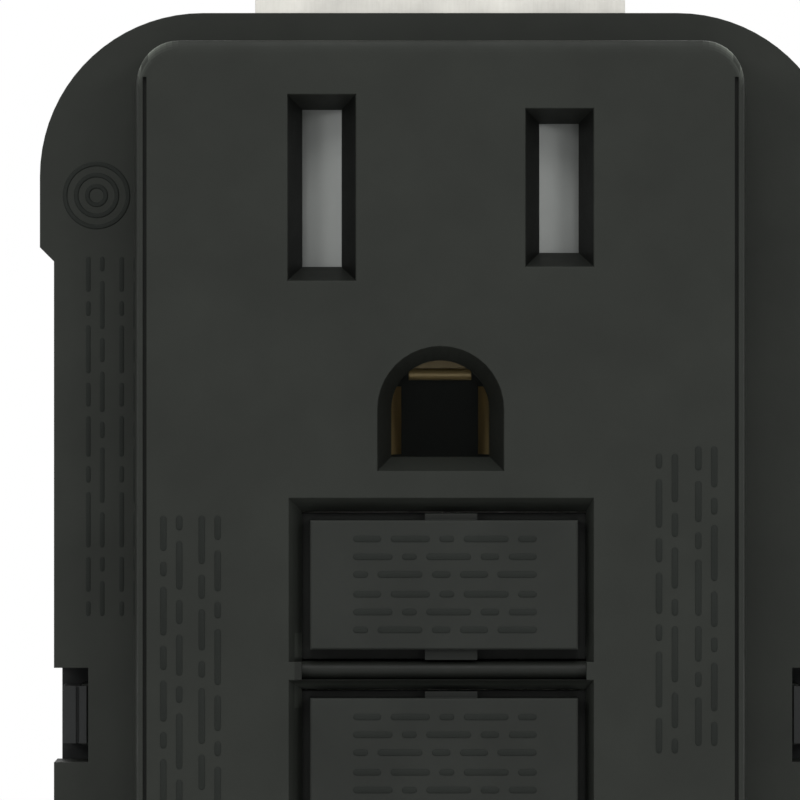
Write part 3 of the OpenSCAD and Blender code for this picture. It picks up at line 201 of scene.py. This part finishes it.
class Shader:
    """A Principled material whose helper nodes work in the part's own coordinates."""

    def __init__(self, name, metallic=0.0, specular=0.5, coat=0.0):
        self.material = bpy.data.materials.new(name)
        self.material.use_nodes = True
        self.tree = self.material.node_tree
        self.surface = self.tree.nodes["Principled BSDF"]
        self.surface.inputs["Metallic"].default_value = metallic
        self.surface.inputs["Specular IOR Level"].default_value = specular
        self.surface.inputs["Coat Weight"].default_value = coat
        coordinates = self.node("ShaderNodeTexCoord").outputs
        self.place = coordinates["Object"]
        self.facing = coordinates["Normal"]

    def node(self, kind, inputs=None, **settings):
        made = self.tree.nodes.new(kind)
        for key, value in settings.items():
            setattr(made, key, value)
        for key, value in (inputs or {}).items():
            if isinstance(value, bpy.types.NodeSocket):
                self.tree.links.new(value, made.inputs[key])
            else:
                made.inputs[key].default_value = value
        return made

    def math(self, operation, *values):
        made = self.node("ShaderNodeMath", dict(enumerate(values)), operation=operation)
        return made.outputs[0]

    def noise(self, scale, detail=3.0, rough=0.55, vector=None):
        made = self.node("ShaderNodeTexNoise", {
            "Vector": vector or self.place, "Scale": scale, "Detail": detail, "Roughness": rough})
        return made.outputs["Fac"]

    def stretched(self, scale):
        mapping = self.node("ShaderNodeMapping", {"Vector": self.place, "Scale": scale})
        return mapping.outputs["Vector"]

    def ramp(self, factor, low, high, start=0.3, end=0.7):
        made = self.node("ShaderNodeValToRGB", {"Fac": factor})
        first, last = made.color_ramp.elements
        first.position, first.color = start, low
        last.position, last.color = end, high
        return made.outputs["Color"]

    def spread(self, factor, low, high):
        """A noise's values laid over a range."""
        made = self.node("ShaderNodeMapRange", {
            "Value": factor, "From Min": NOISE_LOW, "From Max": NOISE_HIGH,
            "To Min": low, "To Max": high})
        return made.outputs["Result"]

    def inside(self, spans):
        """1 where place (X Y Z) and direction (NX NY NZ) are in the spans, and 0 elsewhere.

        All but Y and NY are taken without their sign, so both sides and both outlets match.
        NX and NZ rise softly from 0 to 1 over their spans.
        """
        place = self.node("ShaderNodeSeparateXYZ", {"Vector": self.place}).outputs
        facing = self.node("ShaderNodeSeparateXYZ", {"Vector": self.facing}).outputs
        mask = 1.0
        for axis, (low, high) in spans.items():
            value = (facing if axis[0] == "N" else place)[axis[-1]]
            if axis[-1] != "Y":
                value = self.math("ABSOLUTE", value)
            if axis in ("NX", "NZ"):
                test = self.node("ShaderNodeMapRange", {
                    "Value": value, "From Min": low, "From Max": high}).outputs["Result"]
            else:
                test = self.math("COMPARE", value, (low + high) / 2, (high - low) / 2)
            mask = self.math("MULTIPLY", mask, test)
        return mask

    def with_painted_tone(self, socket, spans, painted_tone):
        """A colour with painted shade (darker) or painted light (lighter) inside some spans."""
        gain = self.node("ShaderNodeMapRange", {
            "Value": self.inside(spans), "To Min": 1.0, "To Max": painted_tone}).outputs["Result"]
        scaled = self.node("ShaderNodeVectorMath", {"Vector": socket, "Scale": gain},
                           operation="SCALE")
        return scaled.outputs["Vector"]

    def drifting(self, factor, colour, variation, painted_tones):
        """Sets the base colour: it drifts with a noise, and carries painted shade and painted light
        by place.
        """
        shade = self.ramp(factor, rgba(colour, 1 - variation), rgba(colour, 1 + variation))
        for spans, painted_tone in painted_tones:
            shade = self.with_painted_tone(shade, spans, painted_tone)
        self.colour(shade)

    def colour(self, socket):
        self.tree.links.new(socket, self.surface.inputs["Base Color"])

    def roughness(self, socket):
        self.tree.links.new(socket, self.surface.inputs["Roughness"])

    def relief(self, height, depth, edge=0.0):
        """A bump of some depth, over edges that look rounded off where edge is given."""
        inputs = {"Height": height, "Strength": 1.0, "Distance": depth}
        if edge:
            bevel = self.node("ShaderNodeBevel", {"Radius": edge}, samples=BEVEL_SAMPLES)
            inputs["Normal"] = bevel.outputs["Normal"]
        bump = self.node("ShaderNodeBump", inputs)
        self.tree.links.new(bump.outputs["Normal"], self.surface.inputs["Normal"])


def rgba(colour, gain=1.0):
    return (*[min(1.0, c * gain) for c in colour], 1.0)


def moulded(name, colour, rough, grain=0.25 * MM, depth=0.004 * MM, variation=0.1,
            edge=0.06 * MM, specular=0.5, painted_tones=()):
    """Moulded plastic: slight colour drift, a fine etched grain and soft edges."""
    s = Shader(name, specular=specular)
    s.drifting(s.noise(PLASTIC_DRIFT, 4.0), colour, variation, painted_tones)
    s.roughness(s.spread(s.noise(PLASTIC_SHEEN, 2.0), rough - 0.05, rough + 0.05))
    s.relief(s.noise(1.0 / grain, 2.0), depth, edge)
    return s.material


def metal(name, colour, rough, variation=0.12, metallic=1.0, painted_tones=()):
    """Rolled or plated metal: faint streaks along the rolling direction and a mottled sheen."""
    s = Shader(name, metallic=metallic)
    streaks = s.noise(METAL_STREAKS, 3.0, vector=s.stretched(STREAK_SCALE))
    s.drifting(s.noise(METAL_MOTTLE, 4.0), colour, variation, painted_tones)
    s.roughness(s.spread(streaks, rough - 0.08, rough + 0.1))
    s.relief(streaks, depth=0.002 * MM, edge=0.06 * MM)
    return s.material


def speckled(name, low, high, rough):
    """Fibre, ferrite or lacquer: two tones in small speckles."""
    s = Shader(name)
    speckle = s.noise(SPECKLES, 5.0, 0.7)
    s.colour(s.ramp(speckle, rgba(low), rgba(high), 0.4, 0.6))
    s.roughness(s.spread(speckle, rough - 0.08, rough + 0.08))
    s.relief(speckle, depth=0.01 * MM)
    return s.material


def board(name, mask, track, rough):
    """Solder mask with copper tracks that show faintly beneath it."""
    s = Shader(name)
    tracks = s.node("ShaderNodeTexBrick", {
        "Vector": s.place, "Scale": BOARD_TRACKS, "Mortar Size": 0.05,
        "Color1": rgba((0, 0, 0)), "Color2": rgba((0.1, 0.1, 0.1)), "Mortar": WHITE})
    s.colour(s.ramp(tracks.outputs["Color"], rgba(mask), rgba(track), 0.2, 0.8))
    s.roughness(s.spread(s.noise(BOARD_SHEEN), rough - 0.05, rough + 0.05))
    s.relief(tracks.outputs["Color"], depth=0.02 * MM)
    return s.material


def winding(name, colour, band, rough):
    """Enamelled wire, wound in bands that lie side by side along Z, with painted shade in the
    valleys between the bands.
    """
    s = Shader(name, metallic=0.7, coat=0.4)
    turns = s.node("ShaderNodeTexWave", {
        "Vector": s.place, "Scale": WAVE_BAND / band, "Distortion": 0.4}, bands_direction="Z")
    # the colour falls to about a third in the bump's valleys between turns: painted shade
    s.colour(s.ramp(turns.outputs["Fac"], rgba(colour, 0.35), rgba(colour), 0.1, 0.6))
    s.roughness(s.spread(s.noise(WIRE_SHEEN), rough - 0.05, rough + 0.1))
    s.relief(turns.outputs["Fac"], depth=0.08 * MM)
    return s.material


# A painted tone: where it lies, and how much darker (painted shade) or lighter (painted light) it
# makes the colour
def painted_tone(gain, **spans):
    return spans, gain


# Spans of the part where the colour carries painted shade (gain below 1) or painted light and
# highlight (gain above 1)
RECESS_Y = (FACE_Y + 0.12 * MM, FACE_Y + 5 * MM)
GROOVE_Y = (FACE_Y + 0.05 * MM, FACE_Y + 0.4 * MM)
RIDGE_Y = (FACE_Y - 1 * MM, FACE_Y + 3 * MM)
CAP_SIDE_Y = (FACE_Y + 0.3 * MM, FACE_Y + 12 * MM)
NOSE_Y = (-1 * MM, 0.62 * MM)
OUTLET_Z = (9.5 * MM, 31 * MM)
RIDGE_Z = (-1 * MM, 0.62 * MM)
SLOPE_Z = (0.7 * MM, 2 * MM)
CORNER_Z = (30 * MM, 34 * MM)
NOSE_LOW_Z = (16.15 * MM, 18 * MM)
NOSE_HIGH_Z = (22 * MM, 25.3 * MM)
SLOT_X = (4 * MM, 11 * MM)
HOLE_X = (-1 * MM, 3.7 * MM)
BUTTON_X = (-1 * MM, 7.8 * MM)
GROOVE_X = (15.62 * MM, 15.98 * MM)
CORNER_X = (13 * MM, 17 * MM)
COVER_PAINTED_SHADE_AND_LIGHT = (
    # painted shade on the walls of the blade slots, deeper on their sides
    painted_tone(0.45, X=SLOT_X, Y=RECESS_Y, Z=OUTLET_Z),
    painted_tone(0.4, X=SLOT_X, Y=RECESS_Y, Z=OUTLET_Z, NX=(0.3, 0.7)),
    # painted shade in the ground holes, deeper on their sides
    painted_tone(0.8, X=HOLE_X, Y=RECESS_Y, Z=OUTLET_Z),
    painted_tone(0.55, X=HOLE_X, Y=RECESS_Y, Z=OUTLET_Z, NX=(0.2, 0.9)),
    # painted shade in the groove along the face's long sides
    painted_tone(0.45, X=GROOVE_X, Y=GROOVE_Y),
    # painted shade on the ridge between the buttons, dimming its highlight
    painted_tone(0.6, X=BUTTON_X, Y=RIDGE_Y, Z=RIDGE_Z),
    # painted light on the slopes next to the ridge, where the ridge's shade falls
    painted_tone(1.7, X=BUTTON_X, Y=RECESS_Y, Z=SLOPE_Z),
    # painted highlight on the face's four rounded corners, eight times lighter
    painted_tone(8.0, X=CORNER_X, Z=CORNER_Z, NX=(0, 0.55), NZ=(0, 0.55), NY=(-0.99, -0.1)),
)
# painted shade on the buttons' sides and rims, deeper than 0.3 mm behind the face
CAP_PAINTED_SHADE = (painted_tone(0.6, Y=CAP_SIDE_Y),)
# painted shade on the front of the ground contacts' noses seen in the ground holes, deeper in two
# bands of height
BRASS_PAINTED_SHADE = (
    painted_tone(0.6, Y=NOSE_Y),
    painted_tone(0.5, Y=NOSE_Y, Z=NOSE_LOW_Z),
    painted_tone(0.5, Y=NOSE_Y, Z=NOSE_HIGH_Z),
)

# Each material: the function that makes it, and its settings
LOOKS = {
    "cover_black": (moulded, {"colour": (0.0217, 0.0237, 0.0205), "rough": 0.5,
                              "specular": 0.12, "painted_tones": COVER_PAINTED_SHADE_AND_LIGHT}),
    "button_black": (moulded, {"colour": (0.0202, 0.022, 0.0195), "rough": 0.48,
                               "specular": 0.12, "painted_tones": CAP_PAINTED_SHADE}),
    "mark_black": (moulded, {"colour": (0.016, 0.018, 0.016), "rough": 0.6,
                             "edge": 0.03 * MM, "specular": 0.08}),
    "housing_black": (moulded, {"colour": (0.022, 0.023, 0.023), "rough": 0.6,
                                "grain": 0.4 * MM, "depth": 0.01 * MM, "specular": 0.12}),
    "separator_black": (moulded, {"colour": (0.1, 0.117, 0.106), "rough": 0.6}),
    "shutter_grey": (moulded, {"colour": (0.26, 0.27, 0.26), "rough": 0.5,
                               "depth": 0.003 * MM, "variation": 0.04}),
    "white_nylon": (moulded, {"colour": (0.72, 0.7, 0.62), "rough": 0.45, "variation": 0.05}),
    "zinc_steel": (metal, {"colour": (0.6, 0.59, 0.55), "rough": 0.55}),
    "spring_steel": (metal, {"colour": (0.55, 0.55, 0.54), "rough": 0.25}),
    "brass": (metal, {"colour": (0.72, 0.5, 0.2), "rough": 0.28}),
    "tarnished_brass": (metal, {"colour": (0.62, 0.47, 0.21), "rough": 0.42,
                                "metallic": 0.25, "painted_tones": BRASS_PAINTED_SHADE}),
    "nickel_brass": (metal, {"colour": (0.66, 0.64, 0.58), "rough": 0.28}),
    "contact_bronze": (metal, {"colour": (0.72, 0.42, 0.22), "rough": 0.3}),
    "contact_silver": (metal, {"colour": (0.8, 0.79, 0.76), "rough": 0.22}),
    "winding_copper": (winding, {"colour": (0.6, 0.22, 0.07), "band": 0.2 * math.pi * MM,
                                 "rough": 0.35}),
    "ground_green": (metal, {"colour": (0.05, 0.3, 0.09), "rough": 0.4, "variation": 0.25}),
    "fibre": (speckled, {"low": (0.2, 0.13, 0.07), "high": (0.42, 0.31, 0.19), "rough": 0.8}),
    "board_green": (board, {"mask": (0.012, 0.075, 0.03), "track": (0.03, 0.15, 0.06),
                            "rough": 0.33}),
    "ferrite": (speckled, {"low": (0.03, 0.03, 0.035), "high": (0.09, 0.09, 0.1),
                           "rough": 0.5}),
    "epoxy_blue": (moulded, {"colour": (0.03, 0.1, 0.36), "rough": 0.25, "variation": 0.2}),
    "film_orange": (moulded, {"colour": (0.6, 0.27, 0.04), "rough": 0.3, "variation": 0.15}),
    "chip_black": (moulded, {"colour": (0.02, 0.02, 0.021), "rough": 0.55}),
    "resistor_tan": (speckled, {"low": (0.42, 0.3, 0.16), "high": (0.6, 0.46, 0.28),
                                "rough": 0.4}),
}
MATERIALS = {name: make(name, **settings) for name, (make, settings) in LOOKS.items()}


def dress_frame():
    for part in frame["record"]["subparts"]:
        o = NODES[part["node"]]
        # the ground contacts take brass with a tarnished colour and painted shade on their noses
        tarnished_and_shaded = part["node"].endswith("ground_contact")
        look = "tarnished_brass" if tarnished_and_shaded else part["material_slot"]
        o.data.materials.clear()
        o.data.materials.append(MATERIALS[look])


# ---- pieces ----

def piece(name, bm, material, body, smooth=SHARP_ANGLE):
    """A mesh, already in the part's frame, that moves with a body when one is given."""
    bmesh.ops.recalc_face_normals(bm, faces=bm.faces)
    mesh = bpy.data.meshes.new(name)
    bm.to_mesh(mesh)
    bm.free()
    mesh.materials.append(MATERIALS[material])
    mesh.shade_smooth()
    mesh.set_sharp_from_angle(angle=smooth)
    o = bpy.data.objects.new(name, mesh)
    bpy.context.scene.collection.objects.link(o)
    if body:
        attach(o, body)
    return o


def body_of_node(node):
    for body, nodes in frame["record"]["behaviour"]["bodies"].items():
        if node in nodes:
            return body
    raise ValueError(node)


def material_of_node(node):
    for part in frame["record"]["subparts"]:
        if part["node"] == node:
            return part["material_slot"]
    raise ValueError(node)


def copy_of_node(node):
    bm = bmesh.new()
    bm.from_mesh(NODES[node].data)
    bmesh.ops.remove_doubles(bm, verts=bm.verts, dist=WELD)
    return bm


def facing(origin, direction):
    """A matrix that puts local Z along direction, at origin."""
    turn = Vector(direction).to_track_quat("Z", "Y").to_matrix().to_4x4()
    return Matrix.Translation(origin) @ turn


def join_rings(bm, rings):
    """Faces between closed rings of vertices, from each ring to the next."""
    for a, b in zip(rings, rings[1:]):
        for k in range(len(a)):
            following = (k + 1) % len(a)
            bm.faces.new((a[k], a[following], b[following], b[k]))


# ---- springs ----

def tube(bm, points, radius):
    """A round wire through points given as (place, outward direction) pairs."""
    rings = []
    for i, (place, out) in enumerate(points):
        behind = points[max(i - 1, 0)][0]
        ahead = points[min(i + 1, len(points) - 1)][0]
        side = (ahead - behind).normalized().cross(out).normalized()
        rings.append([bm.verts.new(place + radius * (math.cos(a) * out + math.sin(a) * side))
                      for a in (TURN * k / WIRE_SIDES for k in range(WIRE_SIDES))])
    join_rings(bm, rings)
    bm.faces.new(rings[0][::-1])
    bm.faces.new(rings[-1])


def helix(bm, place, radius, wire, length, turns):
    """A coil along place's own Z, from 0 to length, its end turns closed up."""
    points = []
    steps = turns * COIL_STEPS
    for i in range(steps + 1):
        a = TURN * i / COIL_STEPS
        share = i / steps
        # the pitch is small at both ends, where the turns lie against each other
        rise = share - END_PINCH * math.sin(TURN * share) / TURN
        out = Vector((math.cos(a), math.sin(a), 0))
        at = radius * out + Vector((0, 0, wire + (length - 2 * wire) * rise))
        points.append((place @ at, place.to_3x3() @ out))
    tube(bm, points, wire)


def coil(node, body, axis, radius, wire, turns):
    """Stands for a CAD spring. Gives the piece and the places of its two ends."""
    low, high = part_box(node)
    line = Vector(axis)
    middle = (low + high) / 2
    length = abs((high - low).dot(line))
    start = middle - line * length / 2
    bm = bmesh.new()
    helix(bm, facing(start, axis), radius, wire, length, turns)
    o = piece(node + "_coil", bm, material_of_node(node), body, smooth=math.pi)
    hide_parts(node)
    return o, start, start + line * length


def spring(node, axis, radius, wire, turns):
    """A coil that rides with the body of its CAD spring, with a mesh of its own."""
    o, start, end = coil(node, body_of_node(node), axis, radius, wire, turns)
    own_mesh(o)


def stretching_spring(node, axis, radius, wire, turns):
    """A coil in no body, its place baked into its mesh."""
    o, start, end = coil(node, None, axis, radius, wire, turns)
    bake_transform(o)


def make_springs():
    spring("reset_spring", axis=(0, 1, 0),
           radius=2.15 * MM, wire=0.25 * MM, turns=6)
    spring("plunger_spring", axis=(0, 0, 1),
           radius=1.9 * MM, wire=0.12 * MM, turns=5)
    stretching_spring("latch_spring", axis=(0, 0, 1),
                      radius=0.6 * MM, wire=0.12 * MM, turns=4)
    for end in ("upper", "lower"):
        spring(f"{end}_shutter_spring", axis=(1, 0, 0),
               radius=0.85 * MM, wire=0.12 * MM, turns=9)


# ---- screws ----

def threaded(node, seat, direction, crest, root, start, end):
    """Stands for a CAD screw: the same head, over a shank cut with a real thread."""
    place = facing(seat, direction)
    back = place.inverted()
    bm = copy_of_node(node)
    for v in bm.verts:
        p = back @ v.co
        r = math.hypot(p.x, p.y)
        if p.z > start + THREAD_CLEAR and r > root:
            v.co = place @ Vector((p.x * root / r, p.y * root / r, p.z))
    foot = root - THREAD_SINK
    profile = ((foot, -THREAD_HALF), (foot, -THREAD_FLANK), (crest, -THREAD_CREST),
               (crest, THREAD_CREST), (foot, THREAD_FLANK), (foot, THREAD_HALF))
    steps = int((end - start) / PITCH * THREAD_STEPS)
    rows = []
    for i in range(steps + 1):
        a = TURN * i / THREAD_STEPS
        middle = start + PITCH / 2 + (end - start - PITCH) * i / steps
        # the thread grows over its first half turn and fades over its last turn
        fade = min(1.0, (steps - i) / THREAD_STEPS, i / (0.5 * THREAD_STEPS))
        row = []
        for radius, shift in profile:
            r = foot + (radius - foot) * fade
            z = middle + shift * PITCH
            row.append(bm.verts.new(place @ Vector((r * math.cos(a), r * math.sin(a), z))))
        rows.append(row)
    for a, b in zip(rows, rows[1:]):
        for k in range(len(profile) - 1):
            bm.faces.new((a[k], a[k + 1], b[k + 1], b[k]))
    o = piece(node + "_threaded", bm, material_of_node(node), body_of_node(node))
    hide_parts(node)


def make_screws():
    for end, z in MOUNTING_SEATS.items():
        threaded(f"mounting_screw_{end}", (0, 0, z), (0, 1, 0), **MOUNTING_THREAD)
    for end, z in TERMINAL_SEATS.items():
        for side, sign in (("hot", 1), ("neutral", -1)):
            threaded(f"{end}_{side}_screw", (sign * TERMINAL_X, TERMINAL_Y, z), (-sign, 0, 0),
                     **TERMINAL_THREAD)
    threaded("ground_screw", GROUND_SEAT, (1, 0, 0), **GROUND_THREAD)


# ---- leaves ----

def bending(node, start, end):
    """Stands for a CAD leaf: its mesh, cut across into parts between start and end, in no body."""
    bm = copy_of_node(node)
    line = Vector(end) - Vector(start)
    for i in range(1, LEAF_PARTS):
        at = Vector(start) + line * i / LEAF_PARTS
        geometry = bm.verts[:] + bm.edges[:] + bm.faces[:]
        bmesh.ops.bisect_plane(bm, geom=geometry, plane_co=at, plane_no=line.normalized())
    o = piece(node + "_leaf", bm, material_of_node(node), None)
    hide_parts(node)
    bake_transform(o)


def make_leaves():
    for name in ("line_hot_arm", "line_neutral_arm"):
        low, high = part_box(name)
        x = (low.x + high.x) / 2
        bending(name, (x, low.y, low.z + ARM_ROOT), (x, low.y, high.z - ARM_TIP))
    low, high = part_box("test_blade")
    bending("test_blade", (low.x + BLADE_ROOT, low.y, low.z), (0, low.y, low.z))


# ---- raised marks ----

def pill(bm, centre, length, width, height, angle):
    """A low raised bar with round ends on a surface that faces -Y, from that surface outwards."""
    turn = Matrix.Rotation(angle, 3, "Y")
    half = max(0.0, length - width) / 2
    radius = width / 2
    rings = []
    for r, lift in ((radius, -MARK_SINK), (radius * 0.92, height * 0.7), (radius * 0.7, height)):
        ring = []
        for end in (1, -1):
            for k in range(PILL_STEPS + 1):
                a = math.pi * (k / PILL_STEPS - 0.5)
                p = Vector((end * (half + r * math.cos(a)), -lift, end * r * math.sin(a)))
                ring.append(bm.verts.new(centre + turn @ p))
        rings.append(ring)
    join_rings(bm, rings)
    bm.faces.new(rings[-1])


def ring_mark(bm, centre, radius, width, height):
    """A low raised ring with sloping sides on a surface that faces -Y."""
    rings = []
    for r, lift in ((radius - width / 2, -MARK_SINK), (radius - width / 4, height),
                    (radius + width / 4, height), (radius + width / 2, -MARK_SINK)):
        rings.append([bm.verts.new(centre + Vector((r * math.cos(a), -lift, r * math.sin(a))))
                      for a in (TURN * k / RING_STEPS for k in range(RING_STEPS))])
    join_rings(bm, rings)


def lines(bm, corner, lengths, count, pitch, gap, width, height, along, across, angle):
    """Rows of plain raised dashes side by side, each row starting one length further on."""
    along = Vector(along)
    for i in range(count):
        at = Vector(corner) + Vector(across) * pitch * i
        for length in lengths[i:] + lengths[:i]:
            pill(bm, at + along * length / 2, length, width, height, angle)
            at += along * (length + gap)


def make_relief():
    """Generic raised dashes and rings where the device carries its moulded notes."""
    bm = bmesh.new()
    for x, top, first in FACE_GROUPS:
        lengths = COLUMN[first:] + COLUMN[:first]
        lines(bm, (x * MM, FACE_Y, top * MM), lengths, **FACE_MARKS)
    piece("face_relief", bm, "mark_black", "case")
    bm = bmesh.new()
    for radius in BADGE_RADII:
        ring_mark(bm, Vector(BADGE), radius * MM, BADGE_RING, BADGE_HEIGHT)
    for x in FLANGE_LEFTS:
        lines(bm, (x * MM, FLANGE_Y, FLANGE_TOP), COLUMN + COLUMN[:2], **FLANGE_MARKS)
    piece("flange_relief", bm, "mark_black", "case")
    for node, body, middle in (("reset_button", "reset", RESET_Z), ("test_button", "test", TEST_Z)):
        bm = bmesh.new()
        for top in CAP_TOPS:
            lines(bm, (CAP_X - CAP_LEFT, FACE_Y, middle + top * MM), ROW, **CAP_MARKS)
        piece(node + "_relief", bm, "mark_black", body)


# ---- surroundings, camera and light ----

def make_floor():
    low, high = cad_box
    s = Shader("pale_floor")
    s.colour(s.ramp(s.noise(FLOOR_DRIFT), FLOOR_LOW, FLOOR_HIGH))
    s.surface.inputs["Roughness"].default_value = 0.9
    bm = bmesh.new()
    bmesh.ops.create_circle(bm, cap_ends=True, segments=96, radius=FLOOR_RADIUS)
    mesh = bpy.data.meshes.new("floor")
    bm.to_mesh(mesh)
    bm.free()
    mesh.materials.append(s.material)
    floor = bpy.data.objects.new("floor", mesh)
    floor.location = (0, FLOOR_Y, low.z - FLOOR_GAP)
    bpy.context.scene.collection.objects.link(floor)


def make_world():
    """Soft light from all round, behind which the camera and reflections see plain white."""
    world = bpy.data.worlds.new("studio")
    world.use_nodes = True
    bpy.context.scene.world = world
    tree = world.node_tree
    background = tree.nodes["Background"]
    background.inputs["Color"].default_value = WORLD_LIGHT
    backdrop = tree.nodes.new("ShaderNodeBackground")
    backdrop.inputs["Color"].default_value = WHITE
    path = tree.nodes.new("ShaderNodeLightPath")
    mix = tree.nodes.new("ShaderNodeMixShader")
    seen = path.outputs["Is Camera Ray"]
    for ray in ("Is Glossy Ray", "Is Transmission Ray"):
        either = tree.nodes.new("ShaderNodeMath")
        either.operation = "MAXIMUM"
        tree.links.new(seen, either.inputs[0])
        tree.links.new(path.outputs[ray], either.inputs[1])
        seen = either.outputs[0]
    tree.links.new(seen, mix.inputs["Fac"])
    tree.links.new(background.outputs[0], mix.inputs[1])
    tree.links.new(backdrop.outputs[0], mix.inputs[2])
    tree.links.new(mix.outputs[0], tree.nodes["World Output"].inputs["Surface"])


def make_lamps():
    """Round soft lamps, each aimed at the middle of the part."""
    for name, (place, size, power) in LAMPS.items():
        light = bpy.data.lights.new(name, "AREA")
        light.shape = "DISK"
        light.size = size
        light.energy = power
        o = bpy.data.objects.new(name, light)
        o.location = place
        o.rotation_mode = "QUATERNION"
        o.rotation_quaternion = (-Vector(place)).to_track_quat("-Z", "Y")
        bpy.context.scene.collection.objects.link(o)


def make_camera():
    """Straight on to the upper left part of the face, as near as the close-up was taken."""
    camera = bpy.data.objects.new("camera", bpy.data.cameras.new("camera"))
    camera.data.sensor_width = SENSOR
    camera.data.lens = SENSOR * CAMERA_DISTANCE / WIDTH_SEEN
    camera.data.clip_start = 0.01
    camera.data.clip_end = 10
    camera.location = (VIEW_X, FACE_Y - CAMERA_DISTANCE, VIEW_Z)
    camera.rotation_euler = (math.pi / 2, 0, 0)
    bpy.context.scene.collection.objects.link(camera)
    bpy.context.scene.camera = camera


dress_frame()
make_springs()
make_screws()
make_leaves()
make_relief()
make_floor()
make_world()
make_lamps()
make_camera()
bpy.context.scene.view_settings.view_transform = "Standard"
